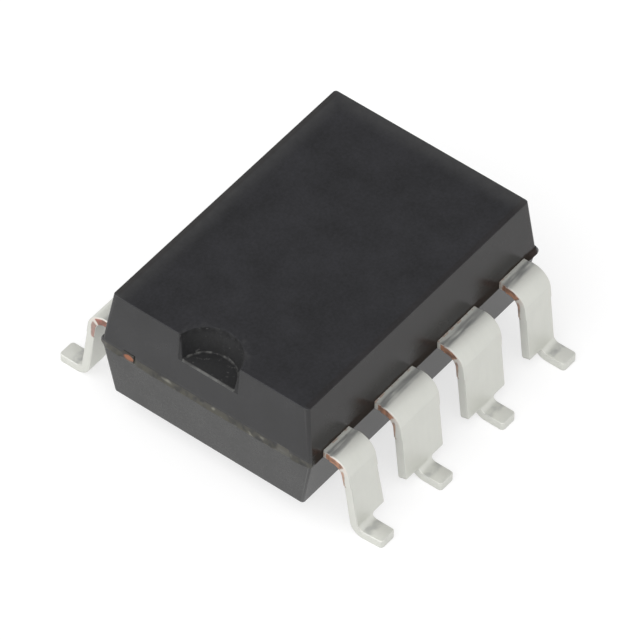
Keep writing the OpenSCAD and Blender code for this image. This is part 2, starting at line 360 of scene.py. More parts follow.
class PackageFaces:
    """Shader values that tell the package's faces apart, with the noises of its finish."""

    def __init__(self, graph, sizes, levels):
        place = graph.place()
        self.x, self.y, self.z = graph.parts(place)
        self.cloud = graph.noise(place, 0.9, 4.0)
        self.grain = graph.noise(place, 0.07)
        self.fleck = graph.noise(place, 0.1)
        self.wear = graph.noise(place, 0.25, 3.0)
        self.wander = self.wear - 0.5
        self.half_length = levels.length / 2
        half_width = levels.width / 2
        end_slope = tan(sizes.end_draft)
        from_parting = abs(self.z - levels.lead)
        to_end = self.half_length - abs(self.x) - from_parting * end_slope
        to_side = half_width - abs(self.y) - from_parting * tan(sizes.side_draft)
        self.top = self.z.over(levels.top - sizes.top_radius, levels.top - 0.4 * sizes.top_radius)
        face_edge = (0.03 * MM, 0.1 * MM)
        self.on_end = 1 - to_end.over(*face_edge)
        self.on_side = (1 - to_side.over(*face_edge)) * (1 - self.on_end)
        arc = (0.4 * sizes.corner_radius, 0.8 * sizes.corner_radius)
        self.corner = (1 - to_end.over(*arc)) * (1 - to_side.over(*arc))
        far_end = self.half_length - sizes.upper_height * end_slope - self.x
        far_side = half_width - sizes.upper_height * tan(sizes.upper_side_draft) - self.y
        to_far_edge = far_end.math("MINIMUM", far_side)
        # Painted sheen: a lightened band along the top's two far edges.
        self.rubbed_and_sheen = self.top * (1 - to_far_edge.over(0.02 * MM, 0.65 * MM)) * (0.8 + self.wander)


def seam_finish(graph, faces, levels):
    """Masks of the ends' seam of resin bleed, its pale chips, and the half below it, which is painted
    lighter as if more light fell there.
    """
    low, high = levels.lead_bottom, levels.lead_top
    wavy = faces.z + faces.wander * (0.12 * MM)
    seam = wavy.between(low - 0.05 * MM, high - 0.08 * MM, 0.04 * MM) * faces.on_end
    chips = graph.noise(graph.flat(faces.y * 0.6, faces.z), 0.13, 0.0)
    specks = chips.over(0.6, 0.86) * seam * 0.5
    # Painted light on the lower half of the end faces.
    lit_end = faces.on_end * (1 - faces.z.over(low - 0.1 * MM, high))
    return seam, specks, lit_end


def side_bleed_and_shade(faces, levels):
    """Share of matte resin on the long sides: resin bleed round the leads, with painted shade reaching
    above it, painted shade over the whole sides, and more painted shade between the leads that fades
    upwards.
    """
    x, z = faces.x, faces.z
    low, high = levels.lead_bottom, levels.lead_top
    back_reach = faces.y.over(0, MM) * (0.22 * MM)
    clean_corner = 1 - (x + faces.half_length - back_reach).over(0.1 * MM, 0.22 * MM)
    # A band round the leads: resin bleed, with painted shade reaching a little above it.
    bled_and_shaded = z.over(low - 0.03 * MM, low + 0.03 * MM)
    bled_and_shaded = bled_and_shaded * (1 - (z - faces.wander * (0.16 * MM)).over(high + 0.02 * MM, high + 0.15 * MM))
    bled_and_shaded = bled_and_shaded * (1 - faces.on_end) * (1 - clean_corner)
    from_gap = abs(x.math("WRAP", pitch / 2, -pitch / 2))
    # Painted shade between the leads, for the shaded leads seen in the side's reflection, fading upwards.
    fading = z.over(low, high) * (1 - z.over(high, high + 0.5 * MM))
    fading = fading * (1 - from_gap.over(0.4 * MM, 0.75 * MM))
    # Painted shade: the whole long sides are dulled and darkened by a share of matte resin.
    return bled_and_shaded.math("MAXIMUM", faces.on_side * (0.24 + fading * 0.35))


def notch_finish(graph, faces, sizes, levels):
    """Masks of the matte notch, its worn rim, and the pale marks on its lip, foot and rim: scuffing and
    dust, with painted highlights at all three.
    """
    x, y, z, wear = faces.x, faces.y, faces.z, faces.wear
    rim = sizes.notch_diameter / 2
    floor = levels.top - sizes.notch_depth
    foot = rim - sizes.notch_depth * tan(sizes.notch_draft)
    lip = -faces.half_length + (floor - levels.lead_top) * tan(sizes.end_draft)
    from_axis = graph.length(x + faces.half_length, y)
    in_notch = z.over(floor - 0.06 * MM, floor - 0.02 * MM) * (1 - from_axis.over(rim, rim + 0.03 * MM))
    # The pale band at the lip: partly scuffing, partly a painted highlight of the rounded edge.
    on_lip = z.between(floor - 0.045 * MM, floor + 0.02 * MM, 0.012 * MM)
    on_lip = on_lip * (1 - x.over(lip + 0.03 * MM, lip + 0.055 * MM))
    on_lip = on_lip * (1 - abs(y).over(foot - 0.02 * MM, foot))
    # A painted highlight along the foot of the notch's wall.
    on_foot = z.between(floor, floor + 0.04 * MM, 0.015 * MM)
    on_foot = on_foot * from_axis.between(foot - 0.045 * MM, foot + 0.03 * MM, 0.01 * MM)
    # A painted highlight on the top just outside the notch's rim, broken by the wear noise.
    on_rim = faces.top * (1 - from_axis.over(rim + 0.05 * MM, rim + 0.25 * MM))
    worn_rim = from_axis.between(rim - 0.02 * MM, rim + 0.06 * MM, 0.02 * MM)
    worn_rim = worn_rim * z.over(floor, levels.top)
    dust = faces.fleck.over(0.64, 0.74) * in_notch
    # Pale marks round the notch: scuffing and dust, with painted highlights at the lip, the wall's foot
    # and the rim.
    scuffs_and_highlights = on_lip * wear.over(0.05, 0.75) * 0.55 + on_foot * wear.over(0.4, 0.68) * 0.6
    scuffs_and_highlights = scuffs_and_highlights + on_rim * wear.over(0.4, 0.8) * 0.14 + dust * 0.2
    return in_notch, worn_rim, scuffs_and_highlights


def resin_material(sizes, tones, levels):
    """Black epoxy: satin sides, a matte top and notch, a rougher worn rim at the notch and resin bleed at
    the leads, with painted shade on the long sides and in the notch, painted sheen on the corners and far
    top edges, painted light on the ends' lower halves, and painted highlights round the notch.
    """
    material = bpy.data.materials.new("moulding")
    graph = Graph(material)
    faces = PackageFaces(graph, sizes, levels)
    seam, specks, lit_end = seam_finish(graph, faces, levels)
    in_notch, worn_rim, scuffs_and_highlights = notch_finish(graph, faces, sizes, levels)
    worn = faces.wear.over(0.3, 0.6)

    mottle = faces.cloud * 1.5 + faces.grain * 1.5 - 1
    # Painted light: the ends' lower halves take a lighter tone.
    tone = graph.mix(lit_end, tones.resin, tones.lit_end_resin)
    tone = graph.mix(faces.top, tone, tones.top_resin)
    # The mottled tone, with painted shade darkening it by about a third inside the notch.
    base = graph.scaled(tone, (mottle * 1.2 + 1) * (1 - in_notch * 0.35))
    # Painted sheen: the upright corners and the top's far edges are lightened.
    base = graph.mix(faces.corner * 0.4 + faces.rubbed_and_sheen, base, tones.painted_sheen_resin)
    base = graph.mix(seam * worn, base, tones.end_bleed)
    base = graph.mix(specks, base, tones.speck)
    # Pale marks round the notch, partly painted highlights.
    base = graph.mix(scuffs_and_highlights, base, tones.scuff_and_highlight)
    satin = tones.side_roughness + faces.top * (tones.top_roughness - tones.side_roughness)
    rough = satin + in_notch * (tones.notch_roughness - satin) + seam * 0.12 + faces.cloud * 0.06
    rough = rough + worn_rim * worn * 0.4
    normal = graph.bump(faces.grain, 0.003, 0.4)
    moulded = graph.shader(Base_Color=base, Roughness=rough, IOR=RESIN_IOR, Normal=normal)

    at_far_end = faces.x.over(faces.half_length - 0.4 * MM, faces.half_length - 0.25 * MM)
    matte = graph.shader(
        Base_Color=graph.mix(at_far_end, tones.side_bleed_and_shade, tones.corner_bleed),
        Roughness=tones.bleed_roughness,
        Specular_IOR_Level=tones.bleed_gloss,
        Normal=normal,
    )
    # The matte mix carries the resin bleed and the painted shade on the long sides.
    sockets = {0: side_bleed_and_shade(faces, levels), 1: moulded, 2: matte}
    graph.surface(graph.node("MixShader", sockets))
    return material


class LeadSurface:
    """Shader values of a point's place on a lead's flat blank, with the noises of its finish."""

    def __init__(self, graph, lead):
        blank = graph.node("Attribute", {}, "Vector", attribute_name="blank")
        self.across, self.along, self.depth = graph.parts(blank)
        place = graph.place()
        x, y, _ = graph.parts(place)
        self.back_row = y.over(0, MM)
        self.cloud = graph.noise(place, 0.45, 3.0)
        self.grain = graph.noise(place, 0.03)
        self.wear = graph.noise(place, 0.16, 3.0)
        self.wander = (self.wear - 0.5) * (0.12 * MM)
        self.drag = graph.noise(graph.flat(x * 0.12, self.along), 0.07, 3.0)
        self.draw = graph.noise(graph.flat(x, self.along * 0.1), 0.12, 3.0)
        half, radius = lead.thickness / 2, lead.edge_radius
        self.upper = self.depth.over(half - radius, half - 0.3 * radius)
        self.lower = 1 - self.depth.over(0.3 * radius - half, radius - half)
        self.rim = abs(self.depth).between(half - 0.8 * radius, half - 0.3 * radius, 0.2 * radius)
        self.sheared = 1 - abs(self.depth).over(half - 0.6 * radius, half - 0.1 * radius)


def rubbed_tin(spot, form):
    """Where the tin is rubbed smooth: dragged over the shoulder and pressed at the heel."""
    shoulder = spot.along + spot.wander * 0.5
    shoulder = shoulder.between(form.package_edge + 0.1 * MM, form.bend + 0.03 * MM, 0.05 * MM)
    heel = spot.along + spot.wander * 2
    heel = heel.between(form.foot - 0.05 * MM, form.foot + 0.2 * MM, 0.06 * MM)
    dragged = shoulder * spot.drag.over(0.28, 0.6)
    return spot.upper * (dragged + heel * spot.wear.over(0.35, 0.65) * 0.7)


def sheared_copper(spot, form):
    """Masks of bare sheared edges, all the copper that shows, and smeared tin."""
    along, depth, wander = spot.along, spot.depth, spot.wander
    start = form.package_edge + 0.1 * MM
    end = form.bend + form.bend_arc / 2
    bare = (along + wander).between(start, end, 0.02 * MM)
    bare = bare * (1 - (depth + wander * 0.5).over(0.065 * MM, 0.1 * MM)) * spot.sheared
    root = along.between(form.package_edge, form.package_edge + 0.045 * MM, 0.01 * MM)
    root = root * spot.wear.over(0.45, 0.6)
    scraped = along.between(end + 0.1 * MM, form.knee + 0.05 * MM, 0.04 * MM)
    tapered = depth + wander * 0.3 + along.over(end, form.knee) * (0.06 * MM)
    tapered = tapered - spot.back_row * (0.05 * MM)
    scraped = scraped * (1 - tapered.over(-0.03 * MM, 0.01 * MM)) * spot.sheared
    smeared = along.between(start, end + 0.15 * MM, 0.15 * MM) * spot.sheared
    return bare, bare + scraped * 0.75 + root * 0.55, smeared


def tie_bar_tone(graph, spot, base, form, tones):
    """A lead's tone with its tie bar's end, smudged and on the back row sheared, and that end's mask."""
    half_sheet = form.lead.thickness / 2
    end = form.end_face + form.lead.tie_end
    wear = spot.wear
    tie_out = spot.across.over(form.end_face - 0.01 * MM, form.end_face)
    tie_end = spot.across.over(end - 0.02 * MM, end - 0.01 * MM) * spot.back_row
    from_middle = (spot.along - (form.tie - 0.03 * MM)) * (2 / form.lead.tie_width)
    from_tie = graph.length(from_middle, spot.depth * (1 / half_sheet))
    copper_end = tie_end * (1 - (from_tie + wear * 0.4).over(0.85, 1.15))
    rim = (from_tie - spot.depth * (0.5 / half_sheet)).over(0.45, 1.1) * 0.8
    copper = graph.mix(rim, tones.tie_copper, darker(tones.tie_copper, 0.35))
    smudge = graph.mix(wear.over(0.3, 0.8) * 0.16, tones.end_bleed, tones.scuff_and_highlight)
    base = graph.mix(tie_out, base, smudge)
    base = graph.mix(tie_end, base, tones.side_bleed_and_shade)
    return graph.mix(copper_end, base, copper), tie_out


def tin_material(form, tones):
    """Matte tin over copper: burnished smooth at the bends, bare and smeared where it was sheared, with
    painted light on the feet and on the faces turned to the package, and painted shade on the rims.
    """
    material = bpy.data.materials.new("tin_lead")
    graph = Graph(material)
    spot = LeadSurface(graph, form.lead)
    wear = spot.wear
    rubbed_and_sheen = rubbed_tin(spot, form)
    bare, copper_share, smeared = sheared_copper(spot, form)
    on_foot = spot.upper * spot.along.over(form.foot, form.foot + 0.2 * MM)

    streaks = spot.cloud * 0.5 + spot.draw * 0.4
    base = graph.mix(streaks, tones.tin, darker(tones.tin, 0.9))
    # Painted light on the feet's tops and on the sheet's lower faces, which turn to the package and the
    # floor; painted shade on the rounded rims, to damp their highlights.
    base = graph.scaled(base, 1 + on_foot * 0.12 + spot.lower * 0.22 - spot.rim * 0.16)
    base = graph.mix(rubbed_and_sheen, base, tones.burnish)
    base = graph.mix(smeared * (0.3 + wear * 0.6), base, tones.smear)
    fresh = graph.mix(spot.back_row, tones.copper, tones.red_copper)
    copper = graph.mix(wear.over(0.3, 0.65), tones.old_copper, fresh)
    base = graph.mix(copper_share, base, copper)
    base, tie_out = tie_bar_tone(graph, spot, base, form, tones)
    rough = tones.tin_roughness + spot.cloud * 0.08
    rough = rough + rubbed_and_sheen * (tones.burnish_roughness - tones.tin_roughness)
    metal = tones.tin_metal + rubbed_and_sheen * (tones.burnish_metal - tones.tin_metal) - bare * 0.2
    metal = metal * (1 - tie_out)
    normal = graph.bump(spot.grain, 0.002, 0.3)
    graph.surface(graph.shader(Base_Color=base, Roughness=rough, Metallic=metal, Normal=normal))
    return material


def plain_material(name, tone, **sockets):
    """A chip, wire or silicone finish with a faint cloud in its colour."""
    material = bpy.data.materials.new(name)
    graph = Graph(material)
    cloud = graph.noise(graph.place(), 0.2, 3.0)
    base = graph.mix(cloud, tone, darker(tone, 0.8))
    graph.surface(graph.shader(Base_Color=base, **sockets))
    return material


def clamped(value, low=0, high=1):
    """A number kept between two others."""
    return min(max(value, low), high)


def add_object(name, data):
    """An object in the scene."""
    made = bpy.data.objects.new(name, data)
    bpy.context.scene.collection.objects.link(made)
    return made


def mesh_from(name, bm):
    """A mesh made from a bmesh, which is freed."""
    mesh = bpy.data.meshes.new(name)
    bm.to_mesh(mesh)
    bm.free()
    return mesh


def make_piece(name, bm, material):
    """A finished mesh object from a bmesh, with smooth faces and flat ones kept flat."""
    mesh = mesh_from(name, bm)
    mesh.shade_smooth()
    mesh.set_sharp_from_angle(angle=SHARP)
    mesh.materials.append(material)
    piece = add_object(name, mesh)
    modifier = piece.modifiers.new("Flat faces", "WEIGHTED_NORMAL")
    modifier.keep_sharp = True
    return piece


def round_off(bm, items, radius, segments, affect="EDGES"):
    """Rounds edges, or with VERTICES the corners of a flat face."""
    bmesh.ops.bevel(bm, geom=items, offset=radius, segments=segments, profile=0.5, affect=affect)


def raise_face(bm, face, height, stretch=(1, 1)):
    """Extrudes a level face upwards, and stretches it about the package's middle."""
    made = bmesh.ops.extrude_face_region(bm, geom=[face, *face.edges])["geom"]
    corners = [item for item in made if isinstance(item, bmesh.types.BMVert)]
    bmesh.ops.translate(bm, vec=(0, 0, height), verts=corners)
    bmesh.ops.scale(bm, vec=(*stretch, 1), verts=corners)
    return next(item for item in made if isinstance(item, bmesh.types.BMFace))


def level_plate(bm, size_x, size_y, z, corner_radius):
    """A level face with rounded corners."""
    corners = bmesh.ops.create_grid(bm, x_segments=1, y_segments=1, size=0.5)["verts"]
    bmesh.ops.scale(bm, vec=(size_x, size_y, 1), verts=corners)
    bmesh.ops.translate(bm, vec=(0, 0, z), verts=corners)
    round_off(bm, corners, corner_radius, CORNER_STEPS, "VERTICES")
    return next(iter(bm.faces))


def package_levels(sizes):
    """Heights at which the package changes, its length and width at the leads, and its tie bars' place."""
    lead_bottom = body_low.z + sizes.lower_height
    lead_top = body_high.z - sizes.upper_height
    long = body_high.x - body_low.x - 2 * sizes.end_flash
    wide = body_high.y - body_low.y - 2 * sizes.flash
    return SimpleNamespace(
        bottom=body_low.z,
        lead_bottom=lead_bottom,
        lead_top=lead_top,
        lead=(lead_bottom + lead_top) / 2,
        top=body_high.z,
        length=long,
        width=wide,
        tie=wide / 2 - sizes.tie_inset,
    )


def drafted_core(sizes, levels):
    """Both drafted halves of the package as one closed shell, still sharp."""
    bm = bmesh.new()
    lower_lean = (tan(sizes.end_draft), tan(sizes.side_draft))
    upper_lean = (tan(sizes.end_draft), tan(sizes.upper_side_draft))
    parting = (levels.length, levels.width)
    lower = [size - 2 * sizes.lower_height * slope for size, slope in zip(parting, lower_lean)]
    upper = [size - 2 * sizes.upper_height * slope for size, slope in zip(parting, upper_lean)]
    face = level_plate(bm, *lower, levels.bottom, sizes.corner_radius)
    face = raise_face(bm, face, sizes.lower_height, [a / b for a, b in zip(parting, lower)])
    face = raise_face(bm, face, levels.lead_top - levels.lead_bottom)
    raise_face(bm, face, sizes.upper_height, [a / b for a, b in zip(upper, parting)])
    bmesh.ops.recalc_face_normals(bm, faces=bm.faces)
    return bm


def notch_cutter(sizes, levels):
    """The cone that leaves the index notch, with its axis over the end of the parting line."""
    bm = bmesh.new()
    over = sizes.notch_depth / 4
    slope = tan(sizes.notch_draft)
    rim = sizes.notch_diameter / 2
    bmesh.ops.create_cone(
        bm,
        cap_ends=True,
        segments=NOTCH_SIDES,
        radius1=rim - sizes.notch_depth * slope,
        radius2=rim + over * slope,
        depth=sizes.notch_depth + over,
        matrix=Matrix.Rotation(pi / NOTCH_SIDES, 4, "Z"),
    )
    middle = levels.top + (over - sizes.notch_depth) / 2
    bmesh.ops.translate(bm, vec=(-levels.length / 2, 0, middle), verts=bm.verts)
    return bm


def kept_share(sizes, from_corner, rise):
    """Share of the flash that is left near a corner, with its upper and lower edges worn."""
    near = 1 - clamped((from_corner - sizes.kept_flash) / sizes.flash_fade)
    return near if FLASH_RINGS[0] < rise < FLASH_RINGS[-1] else sizes.worn_flash * near


def flash_on_side(sizes, levels, place, rise):
    """How far the flash stands out of a long side: trimmed, but left at all corners except lead 1's."""
    if place.x < 0 and place.y < 0:
        return sizes.trimmed_flash
    kept = kept_share(sizes, levels.length / 2 - abs(place.x), rise)
    return sizes.trimmed_flash + (sizes.flash - sizes.trimmed_flash) * kept


def flash_on_end(sizes, levels, place, rise):
    """How far the flash stands out of an end: a burr pressed down by the punch, broken at the ties."""
    from_corner = levels.width / 2 - abs(place.y)
    burr = clamped(from_corner / (sizes.kept_flash + sizes.flash_fade))
    if abs(abs(place.y) - levels.tie) < sizes.tie_break:
        burr = sizes.tie_burr if place.y > 0 else 0
    kept = kept_share(sizes, from_corner, rise) if place.x > 0 else 0
    return sizes.end_flash * max(burr * (1 - (rise / BURR_TOP) ** BURR_CURVE), kept, 0)


def draw_out_flash(bm, sizes, levels):
    """Draws the band at the parting line out into a thin flash with a worn, broken edge."""
    low, high = levels.lead_bottom, levels.lead_top
    straight = [size / 2 - sizes.corner_radius for size in (levels.length, levels.width)]
    rings = len(FLASH_RINGS) + 1
    band = [edge for edge in bm.edges if all(low - NEAR < vert.co.z < high + NEAR for vert in edge.verts)]
    sides = [edge for edge in band if edge.calc_length() > levels.width / 2]
    made = bmesh.ops.subdivide_edges(bm, edges=sides, cuts=FLASH_CUTS, use_grid_fill=True)["geom"]
    uprights = {item for item in band + made if isinstance(item, bmesh.types.BMEdge) and item.is_valid}
    uprights = [edge for edge in uprights if abs(edge.verts[0].co.z - edge.verts[1].co.z) > NEAR]
    bmesh.ops.subdivide_edges(bm, edges=uprights, cuts=len(FLASH_RINGS), use_grid_fill=True)
    for vert in [vert for vert in bm.verts if low + NEAR < vert.co.z < high - NEAR]:
        place = vert.co.copy()
        rise = FLASH_RINGS[round((place.z - low) / (high - low) * rings) - 1]
        middle = [clamped(place[axis], -straight[axis], straight[axis]) for axis in (0, 1)]
        outward = (place.xy - Vector(middle)).normalized()
        stands = outward.x**2 * flash_on_end(sizes, levels, place, rise)
        stands += outward.y**2 * flash_on_side(sizes, levels, place, rise)
        if place.x > 0:
            to_square = 1 / max(abs(outward.x), abs(outward.y)) - 1
            stands += sizes.corner_radius * to_square * kept_share(sizes, 0, rise)
        stands -= sizes.ragged * (0.5 + 0.5 * noise.noise(place / sizes.ragged_grain))
        vert.co.xy += outward * max(stands, 0)
        vert.co.z = low + rise * (high - low)


def cut_away(bm, cutter):
    """What is left of one solid without another."""
    stock = add_object("stock", mesh_from("stock", bm))
    tool = add_object("tool", mesh_from("tool", cutter))
    modifier = stock.modifiers.new("Cut", "BOOLEAN")
    modifier.operation = "DIFFERENCE"
    modifier.solver = "EXACT"
    modifier.object = tool
    depsgraph = bpy.context.evaluated_depsgraph_get()
    result = bmesh.new()
    result.from_mesh(stock.evaluated_get(depsgraph).to_mesh())
    for item in (stock, tool):
        mesh = item.data
        bpy.data.objects.remove(item)
        bpy.data.meshes.remove(mesh)
    bmesh.ops.remove_doubles(result, verts=result.verts, dist=NEAR)
    return result


def moulding_mesh(sizes, levels):
    """The package with its notch, rounded edges and flash."""
    bm = cut_away(drafted_core(sizes, levels), notch_cutter(sizes, levels))
    sharp = [edge for edge in bm.edges if edge.calc_face_angle(0) > CREASE]
    upper = [edge for edge in sharp if min(v.co.z for v in edge.verts) > levels.lead_top + NEAR]
    round_off(bm, upper, sizes.top_radius, EDGE_STEPS)
    bottom = [edge for edge in bm.edges if max(v.co.z for v in edge.verts) < levels.bottom + NEAR]
    round_off(bm, bottom, sizes.bottom_radius, EDGE_STEPS)
    draw_out_flash(bm, sizes, levels)
    return bm


class OPTOCOUPLER_OT_moulding(Operator):
    """Models the drafted black package with its index notch and ragged flash"""

    bl_idname = "optocoupler.moulding"
    bl_label = "Moulding"

    def execute(self, context):
        scene = context.scene
        sizes = scene.optocoupler_moulding
        levels = package_levels(sizes)
        material = resin_material(sizes, scene.optocoupler_finishes, levels)
        piece = make_piece("moulded_package", moulding_mesh(sizes, levels), material)
        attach(piece, "root")
        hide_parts("body")
        return {"FINISHED"}


class LeadForm:
    """Places along a lead's flat blank, measured outwards from the middle of the package."""

    def __init__(self, lead, levels):
        self.lead = lead
        half_width = levels.width / 2
        half_sheet = lead.thickness / 2
        self.turn = pi / 2 - lead.splay
        self.ramp_turn = pi / 4
        self.package_edge = half_width
        self.end_face = levels.length / 2
        self.anchor = half_width - lead.anchor
        self.tie = levels.tie
        self.ramp = half_width - lead.ramp_inset
        self.bend = half_width + lead.shoulder
        bend_radius = lead.bend_radius + half_sheet
        foot_radius = lead.foot_bend_radius + half_sheet
        self.bend_arc = bend_radius * self.turn
        self.foot_arc = foot_radius * self.turn
        self.ramp_arc = lead.thickness * self.ramp_turn
        bend_tangent = bend_radius * tan(self.turn / 2)
        foot_tangent = foot_radius * tan(self.turn / 2)
        drop = levels.lead - half_sheet
        self.slope = cos(lead.splay)
        leg = drop / self.slope - bend_tangent - foot_tangent
        self.leg_top = self.bend + self.bend_arc
        self.leg_top_height = levels.lead - bend_tangent * self.slope
        self.foot_bend = self.leg_top + leg
        self.foot = self.foot_bend + self.foot_arc
        heel = self.bend + bend_tangent + drop * tan(lead.splay)
        self.tip = self.foot + (-lead_low.y - heel - foot_tangent)
        self.knee = self.at_height(levels.lead_top - lead.stub_height)
        self.neck = self.at_height(lead.neck_height)
        ramp_tangent = lead.thickness * tan(self.ramp_turn / 2)
        ramp_run = lead.ramp_rise / sin(self.ramp_turn)
        self.ramp_outer = self.ramp + ramp_tangent - self.ramp_arc
        self.ramp_inner = self.ramp_outer - (ramp_run - 2 * ramp_tangent) - self.ramp_arc
        self.inner_shift = self.ramp_inner - (self.ramp - lead.ramp_rise - ramp_tangent)

    def at_height(self, height):
        """The place on the leg that ends up at a height above the board."""
        return self.leg_top + (self.leg_top_height - height) / self.slope

    def inside(self, across):
        """The place past the ramp that ends up at a distance from the package's middle."""
        return across + self.inner_shift


def outer_side(form, side, half, lean, foot_half, rounded):
    """One edge of a lead outside the package, from anchor to tip, as points with corner radii."""
    lead = form.lead
    stub = half + lead.stub
    points = [
        (half, form.anchor, 0),
        (half, form.package_edge + lead.stub_gap - lead.stub, 0),
        (stub, form.package_edge + lead.stub_gap, 0),
        (stub, form.leg_top, 0),
        (stub, form.knee - lead.stub, 0),
        (half, form.knee, 0),
    ]
    if rounded:
        points += [(half, form.neck, lead.ear_radius), (foot_half, form.neck, lead.neck_radius)]
    points.append((foot_half, form.tip, lead.tip_radius))
    span = form.neck - form.leg_top
    lean_at = [lean * clamped((along - form.leg_top) / span) for _, along, _ in points]
    return [(side * x - shift, along, radius) for (x, along, radius), shift in zip(points, lean_at)]


def lead_middle(corner):
    """How far the middle of a corner lead or an inner lead lies from the middle of its row."""
    return pitch * ((ROW_LEADS - 1) / 2 if corner else 0.5)


def lead_outline(form, corner, output, lean):
    """Outline of a lead's flat blank, with the inside part of its kind."""
    lead = form.lead
    middle = lead_middle(corner)
    foot_half = lead.foot_width / 2
    inner = outer_side(form, -1, lead.width / 2, lean, foot_half, True)
    outer = outer_side(form, 1, foot_half if corner else lead.width / 2, lean, foot_half, not corner)
    outline = [(middle + x, along, radius) for x, along, radius in inner + outer[::-1]]
    if corner:
        finger_end = middle + foot_half
        finger_start = finger_end - lead.finger_width
        finger_tip = form.inside(-lead.finger_reach)
        tie_low = form.tie - lead.tie_width / 2
        tie_high = form.tie + lead.tie_width / 2
        tie_end = form.end_face + (lead.tie_end if output else lead.flush_tie_end)
        inside = [
            (finger_end, tie_high),
            (tie_end, tie_high),
            (tie_end, tie_low),
            (finger_end, tie_low),
            (finger_end, finger_tip),
            (finger_start, finger_tip),
            (finger_start, form.anchor),
        ]
        outline.pop()
    else:
        reach = (lead.cell_paddle_width if output else lead.emitter_paddle) / 2
        paddle_end = pitch + (lead.cell_paddle_length if output else lead.emitter_paddle) / 2
        paddle_tip = form.inside(-reach)
        paddle_root = form.inside(form.ramp - lead.ramp_rise - lead.thickness)
        neck_low = middle - lead.neck_width / 2
        neck_high = middle + lead.neck_width / 2
        inside = [
            (neck_high, form.anchor),
            (neck_high, paddle_root),
            (paddle_end, paddle_root),
            (paddle_end, paddle_tip),
            (neck_low, paddle_tip),
            (neck_low, form.anchor),
        ]
    return outline + [(x, along, 0) for x, along in inside]


def cut_sheet(bm, outline, lead):
    """The flat blank as a sheet of its thickness, with rounded corners and edges."""
    corners = [bm.verts.new((x, along, -lead.thickness / 2)) for x, along, _ in outline]
    bm.faces.new(corners)
    for radius in sorted({r for _, _, r in outline if r}):
        chosen = [vert for vert, (_, _, r) in zip(corners, outline) if r == radius]
        round_off(bm, chosen, radius, TIP_STEPS, "VERTICES")
    raise_face(bm, next(iter(bm.faces)), lead.thickness)
    bmesh.ops.recalc_face_normals(bm, faces=bm.faces)
    rim = [edge for edge in bm.edges if abs(edge.verts[0].co.z - edge.verts[1].co.z) < NEAR]
    round_off(bm, rim, lead.edge_radius, EDGE_STEPS)


def fold_lines(start, arc):
    """Places along the blank of the lines at which a bend turns."""
    return [start + arc * (step + 0.5) / FOLD_STEPS for step in range(FOLD_STEPS)]


def fold(bm, layer, start, arc, turn, inwards):
    """Bends the sheet over an arc: what is beyond each line turns about it, the line half as far."""
    way = -1 if inwards else 1
    lines = fold_lines(start, arc)
    for line in lines if inwards else reversed(lines):
        beyond = [v for v in bm.verts if way * (v[layer].y - line) > NEAR]
        on_line = [v for v in bm.verts if abs(v[layer].y - line) <= NEAR]
        for verts, part in ((beyond, 1), (on_line, 0.5)):
            turned = Matrix.Rotation(turn * part / FOLD_STEPS, 3, "X")
            bmesh.ops.rotate(bm, cent=(0, line, 0), matrix=turned, verts=verts)


def lead_mesh(form, corner, output, lean, half, side, height):
    """A lead cut from sheet, folded, and set on its side and half of the package."""
    bm = bmesh.new()
    cut_sheet(bm, lead_outline(form, corner, output, lean), form.lead)
    ramp_turn = form.ramp_turn if output else -form.ramp_turn
    folds = (
        (form.foot_bend, form.foot_arc, form.turn, False),
        (form.bend, form.bend_arc, -form.turn, False),
        (form.ramp_inner, form.ramp_arc, -ramp_turn, True),
        (form.ramp_outer, form.ramp_arc, ramp_turn, True),
    )
    for start, arc, _, _ in folds:
        for line in fold_lines(start, arc):
            geom = bm.verts[:] + bm.edges[:] + bm.faces[:]
            bmesh.ops.bisect_plane(bm, geom=geom, plane_co=(0, line, 0), plane_no=(0, 1, 0), dist=NEAR)
    layer = bm.verts.layers.float_vector.new("blank")
    for vert in bm.verts:
        vert[layer] = vert.co
    for bend in folds:
        fold(bm, layer, *bend)
    bmesh.ops.translate(bm, vec=(0, 0, height), verts=bm.verts)
    bmesh.ops.scale(bm, vec=(half, side, 1), verts=bm.verts)
    bmesh.ops.recalc_face_normals(bm, faces=bm.faces)
    return bm


class OPTOCOUPLER_OT_leads(Operator):
    """Cuts and folds the eight tin-plated leads, four on each long side"""

    bl_idname = "optocoupler.leads"
    bl_label = "Leads"

    def execute(self, context):
        scene = context.scene
        levels = package_levels(scene.optocoupler_moulding)
        form = LeadForm(scene.optocoupler_leads, levels)
        material = tin_material(form, scene.optocoupler_finishes)
        for number in range(1, 2 * ROW_LEADS + 1):
            x, y, _ = feet[f"foot_{number}"]
            corner = abs(x) > pitch
            lean = lead_middle(corner) - abs(x)
            half = 1 if x > 0 else -1
            side = 1 if y > 0 else -1
            bm = lead_mesh(form, corner, y > 0, lean, half, side, levels.lead)
            piece = make_piece(f"formed_lead_{number}", bm, material)
            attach(piece, "root")
            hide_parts(f"lead_{number}")
        return {"FINISHED"}


def dress(nodes, material):
    """Gives CAD nodes their finish."""
    for name in nodes:
        slots = frame["nodes"][name].data.materials
        slots.clear()
        slots.append(material)


class OPTOCOUPLER_OT_chips(Operator):
    """Finishes the emitter chips, the cell arrays and the clear silicone between them"""

    bl_idname = "optocoupler.chips"
    bl_label = "Chips and silicone"

    def execute(self, context):
        tones = context.scene.optocoupler_finishes
        emitter = plain_material("emitter_chip", tones.emitter, Roughness=0.3)
        dress(["led_a", "led_b"], emitter)
        cell = plain_material("cell_chip", tones.cell, Roughness=0.12, Coat_Weight=0.5)
        dress(["cell_a", "cell_b"], cell)
        clear = {"Roughness": 0.08, "Transmission_Weight": 1.0, "IOR": SILICONE_IOR}
        silicone = plain_material("clear_silicone", tones.silicone, **clear)
        dress(["light_guide_a", "light_guide_b"], silicone)
        return {"FINISHED"}


